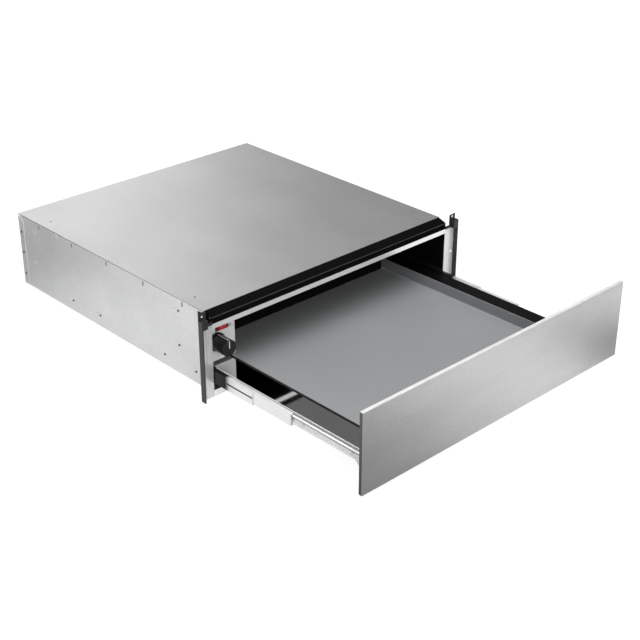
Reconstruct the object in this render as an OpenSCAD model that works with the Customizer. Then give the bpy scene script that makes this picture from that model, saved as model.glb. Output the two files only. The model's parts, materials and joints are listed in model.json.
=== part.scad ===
// Built-in warming drawer, 14 cm class, drawn with its drawer pulled out.
// Millimetres. +X is to the right seen from the front, +Y to the back, +Z up.
// Origin: centre of the case's underside. The modules are drawn with y = 0 at
// the cabinet's front edge; placed() moves them back to the origin.

/* [Case] */
// Width of the case over its side panels
case_w = 540; // [520:1:556]
// Height of the case
case_h = 138; // [136:1:150]
// Thickness of the case's sheet steel
sheet_t = 1; // [0.8:0.1:1.2]
// Width of the case's folded flanges
fold_w = 11; // [8:0.5:13]
// Width of the back panel's flanges on the outside of the side panels
wrap_w = 14; // [10:1:20]
// Distance of the top cover's front edge behind the cabinet's front edge
cover_setback = 16; // [13:0.5:20]

/* [Front frame] */
// How far the front frame reaches past the case on each side
frame_reach = 23; // [18:0.5:26]
// Thickness of the frame's polished sheet
frame_t = 1.2; // [1:0.1:1.5]
// Thickness of the dark trims at the frame's ends
trim_t = 2; // [1.5:0.1:2.5]
// How far the trims stand out in front of the cabinet's edge
trim_d = 10; // [8:0.5:12]
// How far the frame reaches below the case
frame_below = 8; // [4:0.5:12]
// Height of the frame's bottom strip
bottom_strip_h = 11; // [9:0.5:13]
// Height of the frame's polished top strip
top_strip_h = 8.5; // [6:0.5:10]
// Distance from the case's top down to the top strip
strip_drop = 17.5; // [16.5:0.1:19]
// Gap between the case's inner wall and the frame's opening
reveal = 1; // [0.5:0.1:1.5]
// Height of the black rail's front face
rail_face_h = 11.5; // [9:0.5:13]
// Wall of the black rail
rail_wall = 2; // [1.5:0.1:2.5]
// Width of the black corner blocks
block_w = 11; // [9:0.5:13]
// Height of the black corner blocks
block_h = 14.5; // [12:0.5:15]
// Width of the fixing ears
ear_w = 14; // [12:0.5:16]
// Height of the left ear's tip above the top strip
ear_h = 32.5; // [31:0.5:36]
// Height of the ears' screw holes above the top strip
ear_hole_up = 19.5; // [18.5:0.5:20]
// Radius of the screw holes in the ears and the stiles
fixing_r = 2.2; // [1.8:0.1:2.6]
// Height of the screw holes in the stiles
stile_hole_z = 72; // [60:1:85]

/* [Control box] */
// Width of the control box's face right of the drawer's wall
box_w = 61; // [58:1:63]
// Depth of the control box
box_d = 60; // [55:1:100]
// Distance of the control box's face behind the cabinet's front edge
box_setback = 38; // [36:0.5:42]
// Height of the box's floor above the warming plate
box_floor_z = 27; // [26:0.5:28]
// Height of the box's step over the slide and the drawer's rim
box_step_z = 44; // [42:0.5:46]
// Radius of the temperature knob
knob_r = 14; // [11:0.5:14.5]
// Length of the temperature knob with its skirt
knob_l = 32.7; // [26:0.1:34]
// Height of the knob's axis
knob_z = 62; // [60:0.5:63]
// Width of the power switch's rocker
rocker_w = 20; // [16:0.5:21]
// Height of the power switch's rocker
rocker_h = 8.6; // [7.6:0.2:9]
// Height of the power switch's middle
switch_z = 86; // [86:0.5:90]
// Tilt of the switch's rocker each way
rocker_tilt = 8; // [5:1:9]

/* [Telescopic slides] */
// Length of every slide member
slide_l = 450; // [440:1:452]
// Height of the slides' middle
slide_z = 27; // [26:0.1:27]
// Space for a slide between the case and the drawer deck
slide_w = 12; // [11.8:0.1:13]
// Height of the cabinet member
outer_h = 27; // [26.8:0.1:27.4]
// Height of the middle member
mid_h = 20; // [19.8:0.1:20.2]
// Height of the drawer member
inner_h = 13; // [12.8:0.1:13.2]
// Thickness of the slide members
slide_t = 1.2; // [1.1:0.05:1.3]
// Diameter of the balls
ball_d = 2.7; // [2.4:0.1:2.8]
// Length of the ball cages
cage_l = 200; // [160:5:230]
// Balls in each row of a cage
balls = 5; // [3:1:8]

/* [Drawer] */
// How far the drawer stands out, counted from fully pushed in
extension = 342; // [200:0.5:360]
// Gap between the front panel and the frame when pushed in
front_gap = 2.5; // [2.3:0.1:3]
// Length of the drawer deck behind the front panel
deck_l = 459; // [452:1:480]
// Height of the deck's polished floor
deck_z = 22.5; // [22:0.1:23]
// Height of the deck's walls above its floor
rim_h = 14.5; // [13:0.5:16]
// Depth of the deck's walls below its floor
deck_skirt = 3.5; // [2:0.5:5]
// Thickness of the deck's sheet
deck_t = 1; // [0.8:0.1:1.2]
// Distance from the deck's left wall to the warming plate
plate_left = 59; // [50:0.5:62]
// Distance from the warming plate's lip to the deck's right wall
plate_right = 39.5; // [34:0.5:50]
// Thickness of the warming plate
plate_t = 2.5; // [2:0.1:3]
// Height of the warming plate's lip above its top face
lip_h = 20; // [12:0.5:24]
// Thickness of the lip
lip_t = 1.5; // [1.2:0.1:2.5]
// Fillet inside the lip
lip_fillet = 3; // [2:0.5:5]

/* [Front panel] */
// How far the front panel reaches past the frame on each side
panel_overhang = 4.5; // [3:0.5:6]
// Height of the front panel
panel_h = 136; // [134:1:140]
// How far the front panel reaches below the case
panel_below = 1.5; // [0:0.5:5]
// Depth of the front panel over its folded edges
panel_d = 6.5; // [5.5:0.5:10]
// Thickness of the front panel's sheet
panel_t = 1; // [0.8:0.1:1.2]

/* [Heater and fan] */
// Depth of the heater space between the baffle and the back
heater_d = 86; // [85:1:88]
// Radius of the fan wheel
fan_r = 38; // [32:1:40]
// Depth of the fan wheel
fan_d = 20; // [16:1:22]
// Blades on the fan wheel
fan_blades = 18; // [12:1:24]
// Distance of the fan's axis to the right of the middle
fan_x = 60; // [0:1:100]
// Height of the fan's axis
fan_z = 68; // [67:0.5:70]
// Radius of the ring heating element
element_r = 50; // [48:0.5:51]
// Diameter of the heating element's tube
element_d = 6.5; // [6:0.1:7]
// Radius of the opening in the cable gland
gland_r = 4; // [3:0.1:5]

/* [Push latch] */
// Width of the latch housing
latch_w = 24; // [20:1:30]
// Radius of the latch plunger
plunger_r = 4; // [3:0.1:5]
// Travel of the latch plunger
plunger_travel = 4; // [2:0.1:5]
// Length of the latch housing
latch_l = 10; // [9:0.5:14]

/* [Hidden] */
$fn = 48;

// Overrun of a cut past the face it opens
cut = 1;
// Running clearance of a shaft in its hole, on the radius
run = 0.05;
// Clearance between parts that pass each other
pass = 0.3;
// Clearance of a hole around a part that fits in it
fit = 0.2;

half_w = case_w / 2;
inner_x = half_w - sheet_t;
open_x = inner_x - reveal;
frame_w = case_w + 2 * frame_reach;
frame_x = frame_w / 2;
sheet_x = frame_x - trim_t;
panel_w = frame_w + 2 * panel_overhang;
strip_top = case_h - strip_drop;
open_top = strip_top - top_strip_h;
open_bottom = bottom_strip_h - frame_below;
cover_z = case_h - sheet_t;
roof_z = cover_z - sheet_t;

// The black rail's profile: front face, then a slope up to the top cover
rail_front_y = -frame_t;
rail_face_top = strip_top + rail_face_h;

box_pass = 5;
ear_hole_x = frame_x - ear_w / 2;
ear_hole_z = strip_top + ear_hole_up;

box_right = -inner_x + slide_w + box_pass + box_w;
box_back = box_setback + box_d;
knob_x = box_right - 0.64 * box_w;
switch_x = box_right - 0.44 * box_w;

deck_x = inner_x - slide_w;
panel_back = -trim_d - front_gap - extension;
panel_front = panel_back - panel_d;
panel_low = -panel_below;
panel_x = panel_w / 2;
deck_back = panel_back + deck_l;
deck_low = deck_z - deck_skirt;
rim_top = deck_z + rim_h;
plate_x0 = -deck_x + plate_left;
plate_x1 = deck_x - plate_right;
plate_top = deck_z + plate_t;
plate_y0 = panel_back + plate_t;
plate_y1 = deck_back - deck_t;

// Slides: u counts from the case's inner wall towards the drawer, v from the slide's middle
slide_front = sheet_t + fit;
slide_lead = 0.75 * trim_d;
ball_play = 0.15;
race_r = ball_d / 2 + ball_play;
mid_u = 3 * slide_t;
inner_u = slide_w - slide_t;
outer_in = outer_h / 2 - slide_t;
mid_out = mid_h / 2;
mid_in = mid_out - slide_t;
inner_out = inner_h / 2;
outer_row_v = (outer_in + mid_out) / 2;
inner_row_v = (mid_in + inner_out) / 2;
outer_row_u = mid_u + 2.5 * slide_t;
inner_row_u = mid_u + 4.2 * slide_t;
inner_lip_u = mid_u + 2.4 * slide_t;
cage_t = slide_t / 2;
outer_cage_u = slide_t + 0.8 * slide_t;
inner_cage_u = mid_u + 1.35 * slide_t;
outer_cage_y = -slide_lead - extension / 4;
inner_cage_y = -slide_lead + 0.25 * slide_l - 3 * extension / 4;
mid_y = -slide_lead - extension / 2;
inner_y = -slide_lead - extension;

// Knob, switch and the box's screws
shaft_r = 3;
bush_r = 1.8 * shaft_r;
knob_base_y = box_setback - sheet_t - pass;
screw_r = 1.5;
screw_head_r = 2.8;
screw_head_h = 1;
box_screw_places = [
    [box_right - 0.18 * box_w, switch_z - 0.065 * box_w],
    [-inner_x + 0.2 * box_w, switch_z + 0.33 * box_w]
];
cheek = 1.3;
pin_r = 1.2;
pin_reach = 1;
well_w = rocker_w + 4 * pass;
well_h = rocker_h + 2 * pass;
body_w = well_w + 2 * cheek;
body_h = well_h + 2 * cheek;
body_d = 16;
rocker_axis_y = box_setback + sheet_t;

// Latch: the plunger's tip just clears the striker when the drawer is pushed in
striker_t = 1.2;
latch_z = (deck_low + rim_top) / 2;
latch_h = rim_top - deck_low;
plunger_tip = deck_back + extension + striker_t + pass;
latch_front = plunger_tip + plunger_travel;
latch_back_wall = sheet_t;

// Depth of the case: the drawer, the latch behind it and the heater space
baffle_y = latch_front + latch_l;
case_d = baffle_y + heater_d;
back_in = case_d - sheet_t;

// Cable gland
gland_wall = 2;
gland_x = -0.76 * half_w;
gland_z = 0.28 * case_h;

// Fan
wheel_front = baffle_y + sheet_t + 4 * pass;
wheel_back = wheel_front + fan_d;
hub_r = 7;
hub_front = wheel_front + 0.1 * fan_d;
motor_front = wheel_back + 0.3 * fan_d;
motor_back = back_in - 0.2 * heater_d;
element_y = wheel_front + fan_d / 2;

module span(a, b)
    translate(a)
    cube(b - a);

module extrude_y(y0, y1)
    translate([0, y1, 0])
    rotate([90, 0, 0])
    linear_extrude(y1 - y0)
    children();

module extrude_x(x0, x1)
    translate([x0, 0, 0])
    rotate([90, 0, 90])
    linear_extrude(x1 - x0)
    children();

module rod_y(x, z, r, y0, y1)
    translate([x, y0, z])
    rotate([-90, 0, 0])
    cylinder(r = r, h = y1 - y0);

module rod_x(y, z, r, x0, x1)
    translate([x0, y, z])
    rotate([0, 90, 0])
    cylinder(r = r, h = x1 - x0);

// Slot with round ends, standing upright, cut through along Y
module slot_y(x, z, w, h, y0, y1) {
    reach = h / 2 - w / 2;
    span([x - w / 2, y0, z - reach], [x + w / 2, y1, z + reach]);
    rod_y(x, z - reach, w / 2, y0, y1);
    rod_y(x, z + reach, w / 2, y0, y1);
}

// The modules draw the left one of a pair; side 1 turns it into the right one
module mirrored(side)
    mirror([side > 0 ? 1 : 0, 0, 0])
    children();

module placed()
    translate([0, -case_d / 2, 0])
    children();

// Case

module top_cover() {
    hole_r = 1.6 * sheet_t;
    placed()
    color("silver")
    difference() {
        union() {
            span([-half_w, cover_setback, cover_z], [half_w, case_d, case_h]);
            span([-open_x, cover_setback, cover_z - 4 * sheet_t],
                [open_x, cover_setback + sheet_t, cover_z]);
        }
        for (y_share = [0.115, 0.865], side = [-1, 1])
            translate([side * 0.922 * half_w, y_share * case_d, cover_z - cut])
            cylinder(r = hole_r, h = sheet_t + 2 * cut);
    }
}

// Raised curls of the side sheets: depth share, height share and the side on which each is open,
// as an angle from the bottom towards the front
curl_shares = [
    [0.910, 0.838, 0], [0.782, 0.949, 0], [0.922, 0.386, 0], [0.215, 0.951, 0],
    [0.157, 0.826, 90], [0.160, 0.386, 90], [0.085, 0.152, 90], [0.721, 0.151, 90], [0.569, 0.156, 90]
];

// Screws beside the curls
screw_shares = [
    [0.146, 0.832], [0.149, 0.380], [0.074, 0.148], [0.225, 0.137], [0.709, 0.147], [0.558, 0.155]
];

// Slits along the side sheets' top edges, each with a small tab bent out behind it
slits = 5;
slit_start_share = 0.124;
slit_pitch_share = 0.188;

// A curl pressed out of a side sheet, around its middle on the outer face
module curl(turn) {
    arc = 240;
    curl_r = 4;
    ridge_w = 1.2;
    ridge_h = 0.5;
    rotate([0, -90, 0])
    rotate([0, 0, turn - arc / 2])
    rotate_extrude(angle = arc)
    polygon([
        [curl_r - ridge_w / 2, -sheet_t / 2],
        [curl_r + ridge_w / 2, -sheet_t / 2],
        [curl_r + ridge_w / 2, 0],
        [curl_r + ridge_w / 4, ridge_h],
        [curl_r - ridge_w / 4, ridge_h],
        [curl_r - ridge_w / 2, 0]
    ]);
}

// Side sheet drawn for the left; the right one is its mirror image
module side_sheet() {
    slit_w = 2;
    slit_h = 8;
    tab_w = 2.5;
    tab_out = 0.8;
    slit_z = cover_z - 1.4 * slit_h;
    difference() {
        extrude_x(-half_w, -inner_x)
        polygon([
            [0, 0],
            [back_in, 0],
            [back_in, cover_z],
            [cover_setback, cover_z],
            [0, rail_face_top]
        ]);
        for (i = [0 : slits - 1])
            translate([0, (slit_start_share + i * slit_pitch_share) * case_d, slit_z])
            span([-half_w - cut, 0, 0], [-inner_x + cut, slit_w, slit_h]);
    }
    for (i = [0 : slits - 1])
        translate([0, (slit_start_share + i * slit_pitch_share) * case_d + slit_w, slit_z])
        linear_extrude(slit_h)
        polygon([
            [-half_w + sheet_t / 2, 0],
            [-half_w - tab_out, 0],
            [-half_w, tab_w],
            [-half_w + sheet_t / 2, tab_w]
        ]);
    for (place_share = curl_shares)
        translate([-half_w, place_share[0] * case_d, place_share[1] * case_h])
        curl(place_share[2]);
    span([-inner_x, cover_setback + fold_w, roof_z], [-inner_x + fold_w, back_in, cover_z]);
}

module left_side_panel()
    placed()
    color("gainsboro")
    mirrored(-1)
    side_sheet();

module right_side_panel()
    placed()
    color("gainsboro")
    mirrored(1)
    side_sheet();

module bottom_plate() {
    hem_h = slide_z - outer_h / 2 - 2 * sheet_t;
    placed()
    color("silver") {
        span([-inner_x, 0, 0], [inner_x, back_in, sheet_t]);
        for (side = [-1, 1])
            mirrored(side)
            span([-inner_x, fold_w, 0], [-inner_x + sheet_t, baffle_y, hem_h]);
        span([-inner_x + fold_w, back_in - sheet_t, 0], [inner_x - fold_w, back_in, fold_w]);
    }
}

module back_panel() {
    vent_w = 4;
    vent_h = 0.22 * case_h;
    vent_pitch = 3 * vent_w;
    vents = 7;
    slant = 0.09 * case_h;
    placed()
    color("gainsboro")
    difference() {
        union() {
            span([-half_w, back_in, 0], [half_w, case_d, cover_z]);
            for (side = [-1, 1])
                mirrored(side)
                extrude_x(-half_w - sheet_t, -half_w)
                polygon([
                    [case_d - wrap_w, 0],
                    [case_d, 0],
                    [case_d, cover_z],
                    [case_d - wrap_w, cover_z - slant]
                ]);
        }
        for (i = [0 : vents - 1], side = [-1, 1])
            slot_y(fan_x + side * (element_r + vent_pitch * (i + 1)), fan_z, vent_w, vent_h,
                back_in - cut, case_d + cut);
        rod_y(gland_x, gland_z, gland_r + gland_wall + run, back_in - cut, case_d + cut);
    }
}

module liner_roof() {
    liner_t = 0.8 * sheet_t;
    placed()
    color([0.08, 0.08, 0.08])
    difference() {
        span([-inner_x + fold_w, cover_setback + fold_w, roof_z - liner_t],
            [inner_x - fold_w, baffle_y, roof_z]);
        span([-inner_x, 0, roof_z - liner_t - cut], [box_right + pass, box_back + pass, roof_z + cut]);
    }
}

// The wall's front end slants under the rail when it starts in front of the roof
module liner_wall(y0) {
    liner_t = 0.8 * sheet_t;
    wall_low = slide_z + outer_h / 2 + pass;
    wall_top = roof_z - liner_t;
    roof_y = max(y0, cover_setback + fold_w);
    front_top = y0 < roof_y ? rail_face_top - rail_wall : wall_top;
    extrude_x(-inner_x, -inner_x + liner_t)
    polygon([
        [y0, wall_low],
        [baffle_y, wall_low],
        [baffle_y, wall_top],
        [roof_y, wall_top],
        [y0, front_top]
    ]);
    span([-inner_x, roof_y, wall_top], [-inner_x + fold_w, baffle_y, roof_z]);
}

module liner_left_wall()
    placed()
    color([0.08, 0.08, 0.08])
    mirrored(-1)
    liner_wall(box_back + pass);

module liner_right_wall()
    placed()
    color([0.08, 0.08, 0.08])
    mirrored(1)
    liner_wall(slide_front);

module rear_baffle() {
    slit_w = 4;
    slit_h = 0.4 * case_h;
    slit_pitch = 2.5 * slit_w;
    slits = 9;
    inlet_slits = 12;
    placed()
    color([0.1, 0.1, 0.1])
    difference() {
        span([-inner_x, baffle_y, sheet_t], [inner_x, baffle_y + sheet_t, roof_z]);
        for (i = [0 : slits - 1], side = [-1, 1])
            slot_y(fan_x + side * (element_r + slit_pitch * (i + 2)), fan_z, slit_w, slit_h,
                baffle_y - cut, baffle_y + sheet_t + cut);
        for (i = [0 : inlet_slits - 1])
            translate([fan_x, 0, fan_z])
            rotate([0, i * 360 / inlet_slits, 0])
            slot_y(0, 0.58 * fan_r, slit_w, 0.5 * fan_r, baffle_y - cut, baffle_y + sheet_t + cut);
    }
}

// Heads on the side sheets and on the back panel's flanges
module side_rivets() {
    head_r = 1.9;
    head_h = 0.8;
    flange_z_shares = [0.754, 0.462, 0.154];
    placed()
    color("darkgray")
    for (side = [-1, 1])
        mirrored(side) {
            for (place_share = screw_shares)
                rod_x(place_share[0] * case_d, place_share[1] * case_h, head_r, -half_w - head_h, -half_w);
            for (z_share = flange_z_shares)
                rod_x(case_d - wrap_w / 2, z_share * case_h, head_r,
                    -half_w - sheet_t - head_h, -half_w - sheet_t);
        }
}

// Front frame

module front_frame() {
    placed()
    color("whitesmoke")
    difference() {
        span([-sheet_x, -frame_t, -frame_below], [sheet_x, 0, strip_top]);
        span([-open_x, -frame_t - cut, open_bottom], [open_x, cut, open_top]);
        for (side = [-1, 1])
            rod_y(side * ear_hole_x, stile_hole_z, fixing_r, -frame_t - cut, cut);
    }
}

// Fixing ears above the trims; the left one ends in a hollow slant, the right one is flatter
left_ear_top = [[-frame_x, 1], [-frame_x + 0.45 * ear_w, 0.85], [-frame_x + ear_w, 0.785]];
right_ear_top = [[-frame_x, 0.754], [-frame_x + ear_w, 0.708]];

module side_trims() {
    join_z = strip_top - 2 * trim_t;
    placed()
    color([0.3, 0.3, 0.31])
    for (side = [-1, 1], top = [side < 0 ? left_ear_top : right_ear_top])
        mirrored(side)
        difference() {
            union() {
                span([-frame_x, -trim_d, -frame_below], [-sheet_x, 0, strip_top]);
                extrude_y(-frame_t, 0)
                polygon(concat(
                    [[-frame_x + ear_w, strip_top], [-sheet_x, strip_top], [-sheet_x, join_z], [-frame_x, join_z]],
                    [for (point = top) [point[0], strip_top + point[1] * ear_h]]
                ));
            }
            rod_y(-ear_hole_x, ear_hole_z, fixing_r, -frame_t - cut, cut);
        }
}

// Bent rail with a bead along its front edge and a finer one on its face
module top_rail() {
    bead_r = 0.7;
    fine_r = 0.45;
    placed()
    color([0.06, 0.06, 0.06])
    union() {
        extrude_x(-open_x, open_x)
        polygon([
            [rail_front_y, strip_top],
            [rail_front_y, rail_face_top],
            [cover_setback, case_h],
            [cover_setback, case_h - rail_wall],
            [rail_front_y + rail_wall, rail_face_top - rail_wall],
            [rail_front_y + rail_wall, strip_top]
        ]);
        rod_x(rail_front_y + bead_r / 4, rail_face_top - bead_r, bead_r, -open_x, open_x);
        rod_x(rail_front_y + fine_r / 4, strip_top + 0.7 * rail_face_h, fine_r, -open_x, open_x);
    }
}

// Blocks in front of the ears, with a low bar from each to the rail's end
module corner_blocks() {
    block_in = -frame_x + block_w;
    bar_d = 1.7 * frame_t;
    bar_h = 0.35 * block_h;
    placed()
    color([0.05, 0.05, 0.05])
    for (side = [-1, 1])
        mirrored(side) {
            span([-frame_x, -trim_d, strip_top], [block_in, -frame_t, strip_top + block_h]);
            span([block_in - bar_d, -frame_t - bar_d, strip_top], [-open_x, -frame_t, strip_top + bar_h]);
        }
}

// Control box

// Section of the box: it steps up over the slide and the drawer's wall
module box_section(wall) {
    step_x = -inner_x + slide_w + box_pass + wall;
    polygon([
        [-inner_x - cut * sign(wall), box_step_z + wall],
        [step_x, box_step_z + wall],
        [step_x, box_floor_z + wall],
        [box_right - wall, box_floor_z + wall],
        [box_right - wall, roof_z + cut * sign(wall)],
        [-inner_x - cut * sign(wall), roof_z + cut * sign(wall)]
    ]);
}

module control_box() {
    placed()
    color([0.85, 0.85, 0.86])
    difference() {
        extrude_y(box_setback, box_back)
        box_section(0);
        extrude_y(box_setback + sheet_t, box_back - sheet_t)
        box_section(sheet_t);
        rod_y(knob_x, knob_z, bush_r + run, box_setback - cut, box_setback + sheet_t + cut);
        span([switch_x - body_w / 2, box_setback - cut, switch_z - body_h / 2],
            [switch_x + body_w / 2, box_setback + sheet_t + cut, switch_z + body_h / 2]);
        for (place = box_screw_places)
            rod_y(place[0], place[1], screw_r, box_setback - cut, box_setback + sheet_t + cut);
    }
}

module box_screws() {
    placed()
    color("dimgray")
    for (place = box_screw_places) {
        rod_y(place[0], place[1], screw_head_r, box_setback - screw_head_h, box_setback);
        rod_y(place[0], place[1], screw_r, box_setback, box_setback + 4 * screw_head_h);
    }
}

module thermostat() {
    can_w = 2 * knob_r;
    can_h = 1.8 * knob_r;
    can_d = 26;
    bush_y = box_setback - 0.8 * sheet_t;
    can_y = box_setback + sheet_t;
    placed()
    color("tan")
    difference() {
        union() {
            span([knob_x - can_w / 2, can_y, knob_z - can_h / 2],
                [knob_x + can_w / 2, can_y + can_d, knob_z + can_h / 2]);
            rod_y(knob_x, knob_z, bush_r, bush_y, can_y + cut);
        }
        rod_y(knob_x, knob_z, shaft_r + run, bush_y - cut, can_y + 0.6 * can_d);
    }
}

module knob_shaft()
    placed()
    color("silver")
    rod_y(knob_x, knob_z, shaft_r, box_setback - 0.5 * knob_l, box_setback + 0.3 * knob_l);

// Plain round knob with a skirt; a light line marks its upper side and its face
module temperature_knob() {
    skirt_r = 1.15 * knob_r;
    skirt_t = 4;
    edge = 0.06 * knob_r;
    placed()
    color([0.07, 0.07, 0.07])
    difference() {
        translate([knob_x, knob_base_y, knob_z])
        rotate([90, 0, 0])
        rotate_extrude()
        polygon([
            [0, 0],
            [skirt_r, 0],
            [skirt_r, skirt_t - edge],
            [skirt_r - edge, skirt_t],
            [knob_r, skirt_t],
            [knob_r, knob_l - edge],
            [knob_r - edge, knob_l],
            [0, knob_l]
        ]);
        rod_y(knob_x, knob_z, shaft_r + fit / 10, box_setback - 0.5 * knob_l, box_setback + cut);
        pointer_side();
    }
}

// Part of the line that lies in a groove along the knob's upper side
pointer_w = 0.11 * knob_r;
pointer_t = 0.25;

module pointer_side() {
    edge = 0.06 * knob_r;
    translate([knob_x - pointer_w / 2, 0, knob_z])
    span([0, knob_base_y - knob_l + edge, knob_r - 2 * pointer_t],
        [pointer_w, knob_base_y - 0.15 * knob_l, knob_r + pointer_t]);
}

module knob_pointer() {
    front = knob_base_y - knob_l;
    edge = 0.06 * knob_r;
    placed()
    color("white") {
        translate([knob_x - pointer_w / 2, 0, knob_z])
        span([0, front - pointer_t, 0], [pointer_w, front, knob_r - edge]);
        pointer_side();
    }
}

// Power switch: a rocker on two pins between the body's cheeks
module switch_body() {
    bezel = 1;
    bezel_t = 1.2;
    well_back = box_setback + 0.8 * body_d;
    placed()
    color([0.25, 0.02, 0.03])
    difference() {
        union() {
            span([switch_x - body_w / 2 - bezel, box_setback - bezel_t, switch_z - body_h / 2 - bezel],
                [switch_x + body_w / 2 + bezel, box_setback, switch_z + body_h / 2 + bezel]);
            span([switch_x - body_w / 2, box_setback, switch_z - body_h / 2],
                [switch_x + body_w / 2, box_setback + body_d, switch_z + body_h / 2]);
        }
        span([switch_x - well_w / 2, box_setback - bezel_t - cut, switch_z - well_h / 2],
            [switch_x + well_w / 2, well_back, switch_z + well_h / 2]);
        translate([switch_x, rocker_axis_y, switch_z - rocker_h / 2 - pin_reach])
        cylinder(r = pin_r + run, h = rocker_h + 2 * pin_reach);
    }
}

// The rocker's face has two halves that lean to each side by the tilt
module power_rocker() {
    half = rocker_w / 2;
    mid_reach = 3.2;
    edge_reach = mid_reach + half * tan(rocker_tilt);
    root = 0.55 * half;
    pin_l = rocker_h + 2 * pin_reach - 2 * fit;
    placed()
    color([0.7, 0.05, 0.07])
    translate([switch_x, rocker_axis_y, switch_z])
    rotate([0, 0, rocker_tilt]) {
        translate([0, 0, -rocker_h / 2])
        linear_extrude(rocker_h)
        polygon([
            [-half, -edge_reach],
            [0, -mid_reach],
            [half, -edge_reach],
            [half, 0],
            [root, root],
            [-root, root],
            [-half, 0]
        ]);
        translate([0, 0, -pin_l / 2])
        cylinder(r = pin_r, h = pin_l);
    }
}

// Telescopic slides, drawn for the left side

// Member with a web and two flanges; the races are grooves for the balls
module member(web_u, toward, height, reach, y0, y1, rows) {
    u0 = -inner_x + web_u;
    far = u0 + toward * reach;
    v = height / 2;
    difference() {
        union() {
            span([min(u0, u0 + toward * slide_t), y0, slide_z - v],
                [max(u0, u0 + toward * slide_t), y1, slide_z + v]);
            for (way = [-1, 1])
                span([min(u0, far), y0, slide_z + min(way * v, way * (v - slide_t))],
                    [max(u0, far), y1, slide_z + max(way * v, way * (v - slide_t))]);
        }
        for (row = rows, way = [-1, 1])
            rod_y(-inner_x + row[0], slide_z + way * row[1], race_r, y0 - cut, y1 + cut);
    }
}

module outer_slide()
    member(0, 1, outer_h, outer_row_u + race_r + slide_t, slide_front, slide_front + slide_l,
        [[outer_row_u, outer_row_v]]);

module middle_slide() {
    slot_l = 12;
    slot_h = 3;
    slot_shares = [0.25, 0.85];
    difference() {
        member(mid_u, 1, mid_h, inner_row_u + race_r - mid_u, mid_y, mid_y + slide_l,
            [[outer_row_u, outer_row_v], [inner_row_u, inner_row_v]]);
        for (y_share = slot_shares)
            translate([0, mid_y + y_share * slide_l, slide_z + 0.7 * mid_in])
            slot_x(slot_l, slot_h);
    }
}

// Slot with round ends, lying along Y, cut through the middle member's web
module slot_x(l, h) {
    reach = l / 2 - h / 2;
    x0 = -inner_x + mid_u - cut / 2;
    x1 = -inner_x + mid_u + slide_t + cut / 2;
    span([x0, -reach, -h / 2], [x1, reach, h / 2]);
    rod_x(-reach, 0, h / 2, x0, x1);
    rod_x(reach, 0, h / 2, x0, x1);
}

module inner_slide()
    member(slide_w, -1, inner_h, slide_w - inner_lip_u, inner_y, inner_y + slide_l,
        [[inner_row_u, inner_row_v]]);

// Cage: a web between two members and an arm with windows along each row of balls
module cage(web_u, row_u, row_v, arm_end, y0) {
    window = ball_d + 2 * fit;
    pitch = cage_l / balls;
    span([-inner_x + web_u, y0, slide_z - row_v], [-inner_x + web_u + cage_t, y0 + cage_l, slide_z + row_v]);
    for (way = [-1, 1])
        difference() {
            span([-inner_x + web_u, y0, slide_z + way * row_v - cage_t / 2],
                [-inner_x + arm_end, y0 + cage_l, slide_z + way * row_v + cage_t / 2]);
            for (i = [0 : balls - 1])
                translate([-inner_x + row_u, y0 + (i + 0.5) * pitch, slide_z + way * row_v])
                cube(window, center = true);
        }
    for (way = [-1, 1], i = [0 : balls - 1])
        translate([-inner_x + row_u, y0 + (i + 0.5) * pitch, slide_z + way * row_v])
        sphere(d = ball_d, $fn = 24);
}

module outer_cage()
    cage(outer_cage_u, outer_row_u, outer_row_v, outer_row_u + race_r, outer_cage_y);

module inner_cage()
    cage(inner_cage_u, inner_row_u, inner_row_v, inner_row_u + race_r - run, inner_cage_y);

module outer_slide_left()
    placed()
    color("lightgray")
    mirrored(-1)
    outer_slide();

module outer_slide_right()
    placed()
    color("lightgray")
    mirrored(1)
    outer_slide();

module middle_slide_left()
    placed()
    color("gainsboro")
    mirrored(-1)
    middle_slide();

module middle_slide_right()
    placed()
    color("gainsboro")
    mirrored(1)
    middle_slide();

module inner_slide_left()
    placed()
    color("lightgray")
    mirrored(-1)
    inner_slide();

module inner_slide_right()
    placed()
    color("lightgray")
    mirrored(1)
    inner_slide();

module outer_cage_left()
    placed()
    color("dimgray")
    mirrored(-1)
    outer_cage();

module outer_cage_right()
    placed()
    color("dimgray")
    mirrored(1)
    outer_cage();

module inner_cage_left()
    placed()
    color("dimgray")
    mirrored(-1)
    inner_cage();

module inner_cage_right()
    placed()
    color("dimgray")
    mirrored(1)
    inner_cage();

// Low heads on the cabinet members' webs
module slide_screws() {
    head_h = 0.4 * slide_t;
    placed()
    color("darkgray")
    for (side = [-1, 1], y_share = [0.08, 0.5, 0.92])
        mirrored(side)
        rod_x(slide_front + y_share * slide_l, slide_z, screw_head_r,
            -inner_x + slide_t, -inner_x + slide_t + head_h);
}

// Low heads on the drawer members' webs, which hold them to the deck's walls
module inner_slide_screws() {
    head_h = 0.4 * slide_t;
    placed()
    color("darkgray")
    for (side = [-1, 1], y_share = [0.103, 0.333, 0.643])
        mirrored(side)
        rod_x(inner_y + y_share * slide_l, slide_z, screw_head_r,
            -inner_x + inner_u - head_h, -inner_x + inner_u);
}

// Drawer

// The back wall is cut low beside the control box, which it passes below
module drawer_deck() {
    wall_x0 = box_right + 4 * pass;
    apron_x = 0.9 * deck_x;
    apron_low = panel_low + 0.06 * panel_h;
    placed()
    color("whitesmoke") {
        span([-deck_x, panel_back, deck_z - deck_t], [deck_x, deck_back, deck_z]);
        for (side = [-1, 1])
            mirrored(side)
            span([-deck_x, panel_back, deck_low], [-deck_x + deck_t, deck_back, rim_top]);
        span([-deck_x, deck_back - deck_t, deck_low], [deck_x, deck_back, deck_z]);
        span([wall_x0, deck_back - deck_t, deck_low], [deck_x, deck_back, rim_top]);
        span([-apron_x, panel_back, apron_low], [apron_x, panel_back + deck_t, deck_z]);
    }
}

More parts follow.
